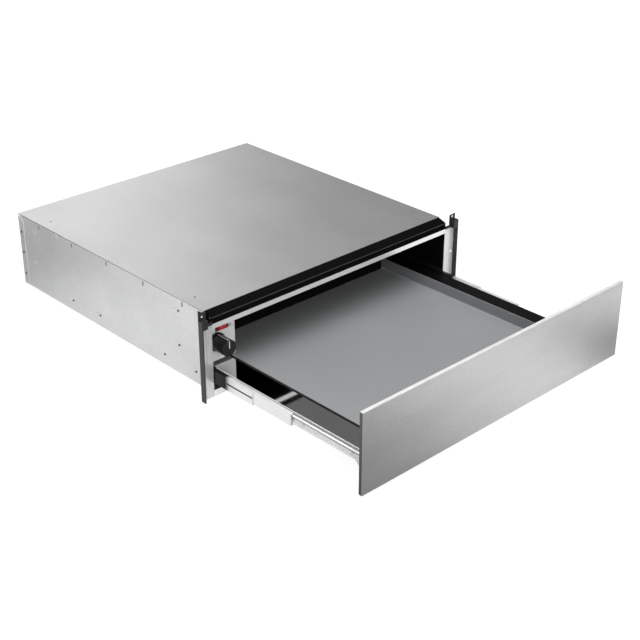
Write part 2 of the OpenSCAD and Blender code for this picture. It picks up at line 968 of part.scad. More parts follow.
module lip_profile(corner)
    translate([corner, plate_top]) {
        translate([0, -plate_t])
        square([lip_t, plate_t + lip_h]);
        difference() {
            translate([-lip_fillet, 0])
            square(lip_fillet);
            translate([-lip_fillet, lip_fillet])
            circle(r = lip_fillet);
        }
    }

module warming_plate()
    placed()
    color([0.5, 0.51, 0.52]) {
        span([plate_x0, plate_y0, deck_z], [plate_x1, plate_y1, plate_top]);
        extrude_y(plate_y0, plate_y1)
        lip_profile(plate_x1 - lip_t);
    }

// Upright behind the plate that keeps dishes in; it ends beside the control box
module rear_fence() {
    fence_x0 = box_right + lip_fillet;
    fence_x1 = plate_x1 - lip_t - lip_fillet;
    placed()
    color([0.1, 0.1, 0.1])
    span([fence_x0, plate_y1 - lip_t, plate_top], [fence_x1, plate_y1, plate_top + lip_h]);
}

// Black cover between the lip and the drawer's right wall, with a fold over the wall
module side_channel() {
    cover_x0 = plate_x1;
    wall_x = deck_x - deck_t;
    top = rim_top + sheet_t;
    placed()
    color([0.07, 0.07, 0.07])
    difference() {
        span([cover_x0, plate_y0, deck_z], [deck_x, plate_y1, top]);
        span([cover_x0 + sheet_t, plate_y0 - cut, deck_z - cut], [wall_x - sheet_t, plate_y1 + cut, rim_top]);
        span([wall_x, plate_y0 - cut, deck_z - cut], [deck_x + cut, plate_y1 + cut, rim_top]);
    }
}

module front_panel()
    placed()
    color([0.62, 0.62, 0.63])
    difference() {
        span([-panel_x, panel_front, panel_low], [panel_x, panel_back, panel_low + panel_h]);
        span([-panel_x + panel_t, panel_front + panel_t, panel_low + panel_t],
            [panel_x - panel_t, panel_back + cut, panel_low + panel_h - panel_t]);
    }

module panel_backing() {
    rim = panel_t + fit;
    placed()
    color([0.45, 0.45, 0.46])
    difference() {
        span([-panel_x + rim, panel_front + panel_t, panel_low + rim],
            [panel_x - rim, panel_back, panel_low + panel_h - rim]);
        span([-panel_x + 8 * rim, panel_front + panel_t - cut, panel_low + 8 * rim],
            [panel_x - 8 * rim, panel_back - 2 * panel_t, panel_low + panel_h - 8 * rim]);
    }
}

// Brackets outside the deck's walls, screwed to the panel's backing
module front_brackets() {
    arm_l = 0.1122 * deck_l;
    arm_low = 0.75 * arm_l;
    foot_w = 0.75 * slide_w;
    low = panel_low + 0.08 * panel_h;
    placed()
    color("darkgray")
    for (side = [-1, 1])
        mirrored(side) {
            extrude_x(-deck_x - slide_t, -deck_x)
            polygon([
                [panel_back, low],
                [panel_back + arm_low, low],
                [panel_back + arm_l, slide_z - inner_out - fit],
                [panel_back, slide_z - inner_out - fit]
            ]);
            span([-deck_x - foot_w, panel_back, low],
                [-deck_x, panel_back + slide_t, slide_z - inner_out - fit]);
            span([-deck_x - slide_t, panel_back + arm_low - slide_w, low],
                [-deck_x + deck_t, panel_back + arm_low, deck_low]);
        }
}

module panel_screws() {
    placed()
    color("dimgray") {
        for (x_share = [-0.6, -0.2, 0.2, 0.6])
            rod_y(x_share * deck_x, deck_low - screw_head_r, screw_head_r,
                panel_back + deck_t, panel_back + deck_t + screw_head_h);
        for (side = [-1, 1])
            mirrored(side)
            rod_x(panel_back + 0.06 * deck_l, slide_z - mid_out - pass - 1.2 * screw_head_r, screw_head_r,
                -deck_x - slide_t - screw_head_h, -deck_x - slide_t);
    }
}

// Rubber pads that meet the frame's trims
module panel_buffers() {
    pad_r = 4;
    pad_h = front_gap - pass;
    placed()
    color([0.08, 0.08, 0.08])
    for (side = [-1, 1], z_share = [0.12, 0.86])
        rod_y(side * (frame_x - pad_r), panel_low + z_share * panel_h, pad_r,
            panel_back, panel_back + pad_h);
}

// Push latch

module latch_striker()
    placed()
    color("silver")
    span([-latch_w / 2, deck_back, deck_low], [latch_w / 2, deck_back + striker_t, rim_top]);

module latch_housing()
    placed()
    color([0.12, 0.12, 0.12])
    difference() {
        span([-latch_w / 2, latch_front, deck_low], [latch_w / 2, baffle_y, rim_top]);
        rod_y(0, latch_z, plunger_r + run, latch_front - cut, baffle_y - latch_back_wall);
    }

module latch_plunger() {
    nose = 0.2 * plunger_r;
    back = baffle_y - latch_back_wall - plunger_travel - pass;
    placed()
    color([0.85, 0.85, 0.83])
    translate([0, plunger_tip, latch_z])
    rotate([-90, 0, 0])
    rotate_extrude()
    polygon([
        [0, 0],
        [plunger_r - nose, 0],
        [plunger_r, nose],
        [plunger_r, back - plunger_tip],
        [0, back - plunger_tip]
    ]);
}

// Heater and fan

module fan_motor() {
    can_r = 0.74 * fan_r;
    can_l = motor_back - motor_front;
    pack = 1.6 * can_r;
    pack_y0 = motor_front + 0.25 * can_l;
    pack_y1 = motor_front + 0.7 * can_l;
    leg_r = 4;
    leg_out = pack / 2 - leg_r;
    placed()
    color("gray")
    difference() {
        union() {
            rod_y(fan_x, fan_z, can_r, motor_front, motor_back);
            span([fan_x - pack / 2, pack_y0, fan_z - pack / 2], [fan_x + pack / 2, pack_y1, fan_z + pack / 2]);
            for (sx = [-1, 1], sz = [-1, 1])
                rod_y(fan_x + sx * leg_out, fan_z + sz * leg_out, leg_r, pack_y0, back_in);
        }
        rod_y(fan_x, fan_z, shaft_r + run, motor_front - cut, motor_back - 0.1 * heater_d);
    }
}

module motor_shaft()
    placed()
    color("silver")
    rod_y(fan_x, fan_z, shaft_r, hub_front, motor_back - 0.12 * heater_d);

module fan_wheel() {
    plate = 1.2;
    blade_t = 1.2;
    blade_l = 0.3 * fan_r;
    lean = 25;
    placed()
    color("silver")
    difference() {
        translate([fan_x, 0, fan_z])
        union() {
            rod_y(0, 0, fan_r, wheel_back - plate, wheel_back);
            rod_y(0, 0, hub_r, hub_front, wheel_back);
            for (i = [0 : fan_blades - 1])
                rotate([0, i * 360 / fan_blades, 0])
                translate([fan_r - blade_t, 0, 0])
                rotate([0, lean, 0])
                span([-blade_l, wheel_front, -blade_t / 2], [0, wheel_back, blade_t / 2]);
        }
        rod_y(fan_x, fan_z, shaft_r + fit / 10, wheel_front, wheel_back + cut);
    }
}

// Ring round the fan wheel, open at the bottom, with two legs to the back
module heating_element() {
    gap_angle = 30;
    leg_angles = [-90 + gap_angle / 2, -90 - gap_angle / 2];
    placed()
    color([0.25, 0.24, 0.23])
    translate([fan_x, element_y, fan_z])
    rotate([90, 0, 0]) {
        rotate([0, 0, -90 + gap_angle / 2])
        rotate_extrude(angle = 360 - gap_angle)
        translate([element_r, 0])
        circle(d = element_d, $fn = 24);
        for (a = leg_angles)
            rotate([0, 0, a])
            translate([element_r, 0, -(back_in - element_y - 2 * element_d)])
            cylinder(d = element_d, h = back_in - element_y - 2 * element_d);
    }
}

module element_clips() {
    clip_r = 3;
    placed()
    color("darkgray")
    for (a = [20, 90, 160])
        rod_y(fan_x + element_r * cos(a), fan_z + element_r * sin(a), clip_r,
            baffle_y + sheet_t, element_y - element_d / 2 - run);
}

module thermal_cutout() {
    disc_r = 8;
    disc_h = 7;
    pin_w = 3;
    x = fan_x - element_r - 4 * disc_r;
    z = fan_z - 0.84 * element_r;
    placed()
    color("tan") {
        rod_y(x, z, disc_r, baffle_y + sheet_t, baffle_y + sheet_t + disc_h);
        for (side = [-1, 1])
            rod_y(x + side * pin_w, z, pin_w / 3, baffle_y + sheet_t + disc_h,
                baffle_y + sheet_t + 2 * disc_h);
    }
}

module terminal_box() {
    tb_w = 56;
    tb_d = 30;
    tb_h = 34;
    wall = 2;
    x0 = gland_x - tb_w / 2;
    z0 = gland_z - tb_h / 2;
    placed()
    color([0.2, 0.2, 0.2])
    difference() {
        span([x0, back_in - tb_d, z0], [x0 + tb_w, back_in, z0 + tb_h]);
        span([x0 + wall, back_in - tb_d + wall, z0 + wall], [x0 + tb_w - wall, back_in + cut, z0 + tb_h - wall]);
    }
}

module cable_gland() {
    flange_r = gland_r + 3 * gland_wall;
    flange_t = 5;
    tail = 10;
    nut_t = 4;
    placed()
    color([0.1, 0.1, 0.1])
    difference() {
        union() {
            rod_y(gland_x, gland_z, flange_r, case_d, case_d + flange_t);
            rod_y(gland_x, gland_z, gland_r + gland_wall, back_in - tail, case_d + flange_t);
            rod_y(gland_x, gland_z, flange_r, back_in - nut_t, back_in);
        }
        rod_y(gland_x, gland_z, gland_r, back_in - tail - cut, case_d + flange_t + cut);
    }
}

top_cover();
left_side_panel();
right_side_panel();
bottom_plate();
back_panel();
liner_roof();
liner_left_wall();
liner_right_wall();
rear_baffle();
side_rivets();
front_frame();
side_trims();
top_rail();
corner_blocks();
control_box();
thermostat();
knob_shaft();
temperature_knob();
knob_pointer();
switch_body();
power_rocker();
box_screws();
outer_slide_left();
outer_slide_right();
slide_screws();
middle_slide_left();
middle_slide_right();
inner_slide_left();
inner_slide_right();
inner_slide_screws();
outer_cage_left();
outer_cage_right();
inner_cage_left();
inner_cage_right();
drawer_deck();
warming_plate();
rear_fence();
side_channel();
front_panel();
panel_backing();
front_brackets();
panel_screws();
panel_buffers();
latch_striker();
latch_housing();
latch_plunger();
fan_motor();
motor_shaft();
fan_wheel();
heating_element();
element_clips();
thermal_cutout();
terminal_box();
cable_gland();
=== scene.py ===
"""Built-in warming drawer, dressed and lit as in the photograph."""
import json
import math

import bpy
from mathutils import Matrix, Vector


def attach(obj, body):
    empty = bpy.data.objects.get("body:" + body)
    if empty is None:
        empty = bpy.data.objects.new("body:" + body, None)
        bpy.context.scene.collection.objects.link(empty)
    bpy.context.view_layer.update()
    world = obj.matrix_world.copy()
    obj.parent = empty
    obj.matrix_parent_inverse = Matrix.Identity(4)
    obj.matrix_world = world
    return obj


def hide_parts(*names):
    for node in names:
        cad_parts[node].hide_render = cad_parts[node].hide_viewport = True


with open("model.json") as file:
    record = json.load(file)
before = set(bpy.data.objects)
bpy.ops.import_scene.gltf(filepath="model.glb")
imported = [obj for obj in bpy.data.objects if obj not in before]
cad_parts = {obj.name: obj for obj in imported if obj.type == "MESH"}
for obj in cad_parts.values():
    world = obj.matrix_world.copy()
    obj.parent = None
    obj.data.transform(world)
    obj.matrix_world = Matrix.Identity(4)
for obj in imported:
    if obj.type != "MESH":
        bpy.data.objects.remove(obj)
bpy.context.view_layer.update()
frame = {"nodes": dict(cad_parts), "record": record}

MM = 0.001
HALF_DEPTH = 0.274  # the cabinet's front edge lies this far in front of the origin
WHITE = (1, 1, 1, 1)


def front(x, y, z):
    """A point in metres from millimetres counted from the cabinet's front edge."""
    return Vector((x * MM, y * MM - HALF_DEPTH, z * MM))


def aim(item, direction):
    """Turns a camera or a lamp to look along a direction."""
    item.rotation_euler = direction.to_track_quat("-Z", "Y").to_euler()


def add(tree, kind, inputs=None, operation=None):
    """Adds a shader node. An input is linked where a socket is given, and set where a value is."""
    node = tree.nodes.new("ShaderNode" + kind)
    if operation:
        node.operation = operation
    for key, value in (inputs or {}).items():
        if isinstance(value, bpy.types.NodeSocket):
            tree.links.new(value, node.inputs[key])
        else:
            node.inputs[key].default_value = value
    return node


def reflected(tree, path):
    """1 for the rays that a metal or a glass sends out, 0 for others."""
    rays = {0: path.outputs["Is Glossy Ray"], 1: path.outputs["Is Transmission Ray"]}
    return add(tree, "Math", rays, "MAXIMUM").outputs[0]


# Camera, worked out from the straight edges in the photograph

LENS, SENSOR = 73.52, 36.0
CAMERA_PLACE = (-1.3651, -1.6873, 1.0569)
AZIMUTH, ELEVATION = math.radians(43.20), math.radians(27.54)

camera_data = bpy.data.cameras.new("camera")
camera_data.lens = LENS
camera_data.sensor_width = SENSOR
camera_data.dof.use_dof = False
camera = bpy.data.objects.new("camera", camera_data)
bpy.context.scene.collection.objects.link(camera)
camera.location = CAMERA_PLACE
aim(camera, Vector((
    math.sin(AZIMUTH) * math.cos(ELEVATION),
    math.cos(AZIMUTH) * math.cos(ELEVATION),
    -math.sin(ELEVATION),
)))
bpy.context.scene.camera = camera
bpy.context.scene.view_settings.view_transform = "Standard"

# World: a white backdrop that also shows in metal, under a quiet grey room

ROOM = 0.18  # grey of the room above the backdrop
BACKDROP_LOW, BACKDROP_HIGH = 0.10, 0.36  # sine of the elevation over which the backdrop fades

world = bpy.data.worlds.new("world")
bpy.context.scene.world = world
world.use_nodes = True
tree = world.node_tree
tree.nodes.clear()
path = add(tree, "LightPath")
place = add(tree, "TexCoord")
parts = add(tree, "SeparateXYZ", {0: place.outputs["Generated"]})
backdrop = add(tree, "MapRange", {
    "Value": parts.outputs["Z"],
    "From Min": BACKDROP_LOW,
    "From Max": BACKDROP_HIGH,
    "To Min": 1.0,
    "To Max": 0.0,
})
mirrored = add(tree, "Math", {0: reflected(tree, path), 1: backdrop.outputs["Result"]}, "MULTIPLY")
seen = add(tree, "Math", {0: path.outputs["Is Camera Ray"], 1: mirrored.outputs[0]}, "MAXIMUM")
room = add(tree, "Background", {"Color": (ROOM, ROOM, ROOM, 1), "Strength": 1.0})
white = add(tree, "Background", {"Color": WHITE, "Strength": 1.0})
mix = add(tree, "MixShader", {"Fac": seen.outputs[0], 1: room.outputs[0], 2: white.outputs[0]})
add(tree, "OutputWorld", {"Surface": mix.outputs[0]})

# Soft lamps: name, place, point they face, width, height, watts

LAMPS = [
    ("overhead", (-0.3, -0.7, 2.3), (0, -0.2, 0), 2.6, 2.0, 54),
    ("back_left_card", (1.0, 2.45, 1.5), (0, 0, 0.1), 1.5, 1.4, 15),
    ("left_card", (-1.7, -0.6, 0.6), (-0.1, -0.1, 0.05), 1.0, 0.8, 8),
    ("front_left_card", (-0.9, -2.5, 0.8), (-0.1, -0.2, 0.05), 1.3, 0.9, 22),
    ("front_right_card", (1.9, -2.2, 1.5), (0, -0.3, 0.05), 1.6, 1.4, 5),
]

for name, lamp_place, target, width, height, watts in LAMPS:
    data = bpy.data.lights.new(name, "AREA")
    data.shape = "RECTANGLE"
    data.size = width
    data.size_y = height
    data.energy = watts
    lamp = bpy.data.objects.new(name, data)
    bpy.context.scene.collection.objects.link(lamp)
    lamp.location = lamp_place
    aim(lamp, Vector(target) - Vector(lamp_place))


# Materials

NOISE_DETAIL = 3.0
NOISE_LOW, NOISE_HIGH = 0.32, 0.68  # noise values that are stretched to the full range
BUMP_DISTANCE = 0.0002


def make_wear():
    """Group: fine grain and broad patches on Object coordinates, for colour, roughness and bump."""
    group = bpy.data.node_groups.new("wear", "ShaderNodeTree")
    sockets = [
        ("Color", "INPUT", "Color"),
        ("Fine", "INPUT", "Vector"),
        ("Fine Low", "INPUT", "Float"),
        ("Patch", "INPUT", "Vector"),
        ("Patch Low", "INPUT", "Float"),
        ("Rough Low", "INPUT", "Float"),
        ("Rough High", "INPUT", "Float"),
        ("Color", "OUTPUT", "Color"),
        ("Roughness", "OUTPUT", "Float"),
        ("Height", "OUTPUT", "Float"),
    ]
    for name, way, kind in sockets:
        group.interface.new_socket(name, in_out=way, socket_type="NodeSocket" + kind)
    inside = group.nodes.new("NodeGroupInput")
    result = group.nodes.new("NodeGroupOutput")
    place = add(group, "TexCoord")
    noises, tones = [], []
    for kind in ("Fine", "Patch"):
        stretch = add(group, "VectorMath", {0: place.outputs["Object"], 1: inside.outputs[kind]}, "MULTIPLY")
        noise = add(group, "TexNoise", {"Vector": stretch.outputs[0], "Scale": 1.0, "Detail": NOISE_DETAIL})
        tone = add(group, "MapRange", {
            "Value": noise.outputs["Fac"],
            "From Min": NOISE_LOW,
            "From Max": NOISE_HIGH,
            "To Min": inside.outputs[kind + " Low"],
        })
        noises.append(noise.outputs["Fac"])
        tones.append(tone.outputs["Result"])
    grain = noises[0]
    both = add(group, "Math", {0: tones[0], 1: tones[1]}, "MULTIPLY")
    tint = add(group, "VectorMath", {0: inside.outputs["Color"], "Scale": both.outputs[0]}, "SCALE")
    rough = add(group, "MapRange", {
        "Value": grain, "To Min": inside.outputs["Rough Low"], "To Max": inside.outputs["Rough High"]})
    group.links.new(tint.outputs[0], result.inputs["Color"])
    group.links.new(rough.outputs["Result"], result.inputs["Roughness"])
    group.links.new(grain, result.inputs["Height"])
    return group


wear = make_wear()


def surface(
    name, color, rough, metallic=0.0, specular=0.5,
    fine=(500, 500, 500), fine_low=0.93, patch=(14, 14, 14), patch_low=0.92,
    spread=0.08, bump=0.1, coat=0.0,
):
    """A material with grain (fine) and clouds (patch), both in repeats per metre."""
    material = bpy.data.materials.new(name)
    material.use_nodes = True
    tree = material.node_tree
    shader = tree.nodes["Principled BSDF"]
    shader.inputs["Metallic"].default_value = metallic
    shader.inputs["Specular IOR Level"].default_value = specular
    shader.inputs["Coat Weight"].default_value = coat
    group = tree.nodes.new("ShaderNodeGroup")
    group.node_tree = wear
    values = {
        "Color": (*color, 1),
        "Fine": fine,
        "Fine Low": fine_low,
        "Patch": patch,
        "Patch Low": patch_low,
        "Rough Low": rough - spread,
        "Rough High": rough + spread,
    }
    for key, value in values.items():
        group.inputs[key].default_value = value
    tree.links.new(group.outputs["Color"], shader.inputs["Base Color"])
    tree.links.new(group.outputs["Roughness"], shader.inputs["Roughness"])
    if bump:
        relief = add(tree, "Bump", {
            "Strength": bump, "Distance": BUMP_DISTANCE, "Height": group.outputs["Height"]})
        tree.links.new(relief.outputs["Normal"], shader.inputs["Normal"])
    return material


LOOKS = {
    "galvanised": dict(
        color=(0.57, 0.57, 0.574), rough=0.5, metallic=1.0, fine=(220, 220, 220), patch=(9, 5, 9)),
    "light_sheet": dict(
        color=(0.75, 0.754, 0.76), rough=0.46, metallic=0.6, fine=(260, 260, 260), fine_low=0.9),
    # On the cavity's liners this black stands in for the shade inside the cabinet: painted shade
    "black_enamel": dict(color=(0.004, 0.004, 0.0045), rough=0.5, specular=0.05, fine=(900, 900, 900)),
    "cover_black": dict(color=(0.004, 0.004, 0.0045), rough=0.5, specular=0.06),
    "rail_black": dict(color=(0.006, 0.006, 0.0065), rough=0.5, specular=0.0, fine=(30, 900, 900)),
    "rail_edge": dict(color=(0.08, 0.08, 0.083), rough=0.5, metallic=1.0, fine=(60, 900, 900)),
    "dark_trim": dict(color=(0.032, 0.032, 0.033), rough=0.42, specular=0.3, fine=(700, 700, 90)),
    "mirror_steel": dict(
        color=(0.66, 0.66, 0.665), rough=0.05, metallic=1.0, fine=(90, 1500, 1500), fine_low=0.97,
        patch_low=0.96, spread=0.02, bump=0.0),
    "strip_steel": dict(
        color=(0.95, 0.95, 0.955), rough=0.25, metallic=0.6, fine=(60, 900, 900), fine_low=0.97,
        patch_low=0.96, spread=0.02, bump=0.0),
    # Darker copy of the plate's grey for the lip's upright faces: painted shade
    "plate_lip_shade": dict(
        color=(0.22, 0.225, 0.23), rough=0.45, metallic=0.25, fine=(900, 900, 900), fine_low=0.95),
    "stile_steel": dict(
        color=(0.82, 0.82, 0.825), rough=0.28, metallic=0.5, fine=(900, 60, 12), fine_low=0.68,
        patch=(300, 300, 25), patch_low=0.92, spread=0.02, bump=0.0),
    # Whiter, less metallic copy of the stile look for the right stile: a painted reflection of the white
    # floor
    "stile_painted_reflection": dict(
        color=(0.97, 0.97, 0.975), rough=0.35, metallic=0.35, fine=(900, 60, 12), fine_low=0.95,
        patch_low=0.96),
    # Dark look for the side rivets: painted shade of the side's embossed dimples
    "rivet_painted_shade": dict(color=(0.08, 0.08, 0.085), rough=0.4, metallic=0.8),
    "seam_dark": dict(color=(0.03, 0.03, 0.032), rough=0.6),
    "black_plastic": dict(color=(0.015, 0.015, 0.015), rough=0.5, fine=(1200, 1200, 1200)),
    "grey_paint": dict(color=(0.90, 0.90, 0.905), rough=0.4, fine=(1200, 1200, 1200), fine_low=0.96),
    "beige_ceramic": dict(color=(0.62, 0.55, 0.42), rough=0.6),
    "knob_black": dict(color=(0.004, 0.004, 0.0045), rough=0.25, fine=(1500, 1500, 1500), bump=0.05),
    "light_mark": dict(color=(0.8, 0.8, 0.8), rough=0.5),
    "bezel_red": dict(color=(0.16, 0.006, 0.012), rough=0.35),
    "switch_red": dict(color=(0.62, 0.012, 0.035), rough=0.2, fine_low=0.97, coat=0.3),
    "fastener_steel": dict(color=(0.55, 0.55, 0.56), rough=0.35, metallic=1.0),
    "slide_zinc": dict(
        color=(0.96, 0.965, 0.97), rough=0.3, metallic=0.75, fine=(900, 25, 900), fine_low=0.93,
        patch=(40, 6, 40)),
    # Black in place of the slides' zinc: painted shade for slides that sit in the cabinet's shade
    "slide_painted_shade": dict(color=(0.01, 0.01, 0.011), rough=0.4, specular=0.3, fine=(900, 25, 900)),
    "slide_grey": dict(color=(0.36, 0.36, 0.365), rough=0.4, metallic=0.3, fine=(900, 25, 900)),
    "slide_pale": dict(
        color=(0.96, 0.96, 0.965), rough=0.4, fine=(900, 25, 900), fine_low=0.95),
    # Zinc look whose colour goes dark towards the rear (below): painted shade
    "slide_shaded_rear": dict(
        color=(0.95, 0.955, 0.96), rough=0.32, metallic=0.35, fine=(900, 25, 900), fine_low=0.93,
        patch_low=0.95),
    "cage_steel": dict(color=(0.45, 0.45, 0.47), rough=0.4, metallic=1.0),
    "plate_grey": dict(
        color=(0.395, 0.405, 0.415), rough=0.42, metallic=0.25, fine=(1100, 1100, 1100), fine_low=0.95,
        patch=(6, 6, 6), patch_low=0.94),
    "brushed_panel": dict(
        color=(0.56, 0.56, 0.567), rough=0.34, metallic=1.0, fine=(160, 160, 900), fine_low=0.88,
        patch=(9, 9, 30), patch_low=0.94, bump=0.15),
    "panel_shade": dict(color=(0.10, 0.10, 0.102), rough=0.45, metallic=0.5),
    # Near-white, less metallic look for edges: painted highlight
    "edge_painted_highlight": dict(color=(0.9, 0.9, 0.9), rough=0.35, metallic=0.2, fine=(70, 70, 480)),
    "backing_steel": dict(color=(0.35, 0.35, 0.36), rough=0.5, metallic=0.5),
    "rubber_pad": dict(color=(0.02, 0.02, 0.02), rough=0.8, fine=(900, 900, 900)),
    "plunger_white": dict(color=(0.8, 0.8, 0.76), rough=0.4),
    "motor_steel": dict(color=(0.25, 0.26, 0.27), rough=0.45, metallic=0.6),
    "fan_aluminium": dict(color=(0.7, 0.7, 0.71), rough=0.35, metallic=1.0),
    "heater_steel": dict(color=(0.12, 0.11, 0.105), rough=0.5, metallic=0.7),
}

looks = {name: surface(name, **values) for name, values in LOOKS.items()}

# Painted shade: the slide members' colour goes dark behind the part that comes out, standing in for the
# shade inside the cabinet

SHADE_FROM, SHADE_FULL = -0.038, -0.028  # metres from the cabinet's front edge
SHADE_LEVEL = 0.01

tree = looks["slide_shaded_rear"].node_tree
group = next(node for node in tree.nodes if node.type == "GROUP")
place = add(tree, "TexCoord")
parts = add(tree, "SeparateXYZ", {0: place.outputs["Object"]})
shade_ramp = add(tree, "MapRange", {
    "Value": parts.outputs["Y"],
    "From Min": SHADE_FROM - HALF_DEPTH,
    "From Max": SHADE_FULL - HALF_DEPTH,
    "To Min": 1.0,
    "To Max": SHADE_LEVEL,
})
dim = add(tree, "VectorMath", {0: group.outputs["Color"], "Scale": shade_ramp.outputs["Result"]}, "SCALE")
tree.links.new(dim.outputs[0], tree.nodes["Principled BSDF"].inputs["Base Color"])

# Nodes that look different from the rest of their slot

SPECIAL = {
    "top_rail": "rail_black",
    # Painted shade: the rivets are drawn dark for the shade in the side's dimples
    "side_rivets": "rivet_painted_shade",
    "side_channel": "cover_black",
    # Painted shade: the outer slides are drawn black, as they sit in shade inside the cabinet
    "outer_slide_left": "slide_painted_shade",
    "outer_slide_right": "slide_painted_shade",
    # Painted shade on the rear of these members
    "middle_slide_left": "slide_shaded_rear",
    "middle_slide_right": "slide_shaded_rear",
    "outer_cage_left": "slide_shaded_rear",
    "outer_cage_right": "slide_shaded_rear",
    "inner_cage_left": "slide_shaded_rear",
    "inner_cage_right": "slide_shaded_rear",
    "inner_slide_left": "slide_pale",
    "inner_slide_right": "slide_shaded_rear",
}

for entry in frame["record"]["subparts"]:
    cad = frame["nodes"][entry["node"]]
    look = looks[SPECIAL.get(entry["node"], entry["material_slot"])]
    for slot in cad.material_slots:
        slot.material = look


# Modelling helpers

CYLINDER_SIDES = 32


def deselect():
    bpy.ops.object.select_all(action="DESELECT")


def edit_all():
    bpy.ops.object.mode_set(mode="EDIT")
    bpy.ops.mesh.select_all(action="SELECT")


def pick(piece, kind, test):
    """Leaves the piece in edit mode with the faces or edges selected whose middle passes the test."""
    bpy.ops.object.mode_set(mode="EDIT")
    bpy.ops.mesh.select_mode(type="FACE" if kind == "faces" else "EDGE")
    bpy.ops.mesh.select_all(action="DESELECT")
    bpy.ops.object.mode_set(mode="OBJECT")
    mesh = piece.data
    for item in mesh.polygons if kind == "faces" else mesh.edges:
        corners = [mesh.vertices[i].co for i in item.vertices]
        middle = sum(corners, Vector()) / len(corners)
        item.select = test(middle / MM + Vector((0, HALF_DEPTH / MM, 0)), corners)
    bpy.ops.object.mode_set(mode="EDIT")


def near(value, goal, slack=0.01):
    return abs(value - goal) < slack


def finish_piece(piece, name, look_names, body, smooth=35):
    """Smooths a piece, and gives it its name, looks and body."""
    bpy.ops.object.mode_set(mode="OBJECT")
    deselect()
    piece.select_set(True)
    bpy.context.view_layer.objects.active = piece
    bpy.ops.object.shade_smooth_by_angle(angle=math.radians(smooth))
    normals = piece.modifiers.new("normals", "WEIGHTED_NORMAL")
    normals.keep_sharp = True
    bpy.ops.object.modifier_apply(modifier=normals.name)
    piece.name = name
    piece.data.name = name
    for look_name in look_names:
        piece.data.materials.append(looks[look_name])
    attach(piece, body)


def apply_bevel(piece, width, segments=2):
    rounding = piece.modifiers.new("bevel", "BEVEL")
    rounding.width = width * MM
    rounding.segments = segments
    rounding.limit_method = "ANGLE"
    bpy.ops.object.modifier_apply(modifier=rounding.name)


def block(low, high, bevel=0.0, segments=2):
    """A box between two corners in front millimetres, with its edges rounded."""
    low, high = front(*low), front(*high)
    deselect()
    bpy.ops.mesh.primitive_cube_add(size=1.0, location=(0, 0, 0))
    piece = bpy.context.object
    edit_all()
    bpy.ops.transform.resize(value=tuple(high - low))
    bpy.ops.transform.translate(value=tuple((high + low) / 2))
    bpy.ops.object.mode_set(mode="OBJECT")
    if bevel:
        apply_bevel(piece, bevel, segments)
    return piece


def rod(centre, radius, depth, axis, bevel=0.0):
    """A cylinder around a point in front millimetres, along X or Y."""
    deselect()
    bpy.ops.mesh.primitive_cylinder_add(vertices=CYLINDER_SIDES, radius=radius * MM, depth=depth * MM)
    piece = bpy.context.object
    turn_axis = "X" if axis == "Y" else "Y"
    edit_all()
    bpy.ops.transform.rotate(value=math.pi / 2, orient_axis=turn_axis, center_override=(0, 0, 0))
    bpy.ops.transform.translate(value=tuple(front(*centre)))
    bpy.ops.object.mode_set(mode="OBJECT")
    if bevel:
        apply_bevel(piece, bevel)
    return piece


def strip(name, low, high, bevel, look_name, body, slot):
    """A thin piece that needs only its rounded edges."""
    finish_piece(block(low, high, bevel), name, [look_name], body)


# Pale floor at the frame's lower edge: white where nothing shades it

FLOOR_Z = -8 * MM
FLOOR_SIZE = 12
FLOOR_GREY = (0.28, 0.28, 0.28, 1)
FLOOR_ROUGH = 0.9
CAMERA_LIFT, GLOSSY_LIFT = 0.88, 0.85  # light of its own that the camera and metal see
# Dark cards lying on the floor as metal sees it: x, y, inner and outer radius, level
CARDS = [
    (-0.31, -0.76, 0.05, 0.45, 0.05),
    (-0.40, 0.50, 0.08, 0.42, 0.05),
    (0.36, -0.66, 0.02, 0.18, 0.30),
]

deselect()
bpy.ops.mesh.primitive_plane_add(size=FLOOR_SIZE, location=(0, 0, FLOOR_Z))
floor = bpy.context.object
floor.name = "floor"
floor_white = bpy.data.materials.new("floor_white")
floor_white.use_nodes = True
tree = floor_white.node_tree
path = add(tree, "LightPath")
place = add(tree, "TexCoord")
level = reflected(tree, path)
for x, y, inner, outer, low in CARDS:
    distance = add(tree, "VectorMath", {0: place.outputs["Object"], 1: (x, y, 0)}, "DISTANCE")
    fade = add(tree, "MapRange", {
        "Value": distance.outputs["Value"], "From Min": inner, "From Max": outer, "To Min": low})
    fade.interpolation_type = "SMOOTHSTEP"
    level = add(tree, "Math", {0: level, 1: fade.outputs["Result"]}, "MULTIPLY").outputs[0]
lift = add(tree, "Math", {0: level, 1: GLOSSY_LIFT}, "MULTIPLY")
seen = add(tree, "Math", {
    0: path.outputs["Is Camera Ray"], 1: CAMERA_LIFT, 2: lift.outputs[0]}, "MULTIPLY_ADD")
shader = tree.nodes["Principled BSDF"]
shader.inputs["Base Color"].default_value = FLOOR_GREY
shader.inputs["Roughness"].default_value = FLOOR_ROUGH
shader.inputs["Specular IOR Level"].default_value = 0.0
shader.inputs["Emission Color"].default_value = WHITE
tree.links.new(seen.outputs[0], shader.inputs["Emission Strength"])
floor.data.materials.append(floor_white)

# Sizes of the CAD that the pieces meet, in front millimetres

FRAME_X, FRAME_T, FRAME_LOW, STRIP_TOP = 291, 1.2, -8, 120.5
OPEN_X, OPEN_LOW, OPEN_TOP = 268, 3, 112
HOLE_X, HOLE_Z, HOLE_R = 286, 72, 2.2
PANEL_X, PANEL_LOW, PANEL_TOP, PANEL_FRONT, PANEL_BACK = 297.5, -1.5, 134.5, -361, -354.5
PLATE_LOW, PLATE_HIGH = (-198, -352, 22.5), (217.5, 103.5, 25)
LIP_IN, LIP_TOP = 216, 45
RIM_X, RIM_TOP, DECK_BACK = 256.5, 37, 104.5
RAIL_TOP = 132
EAR_X = 279

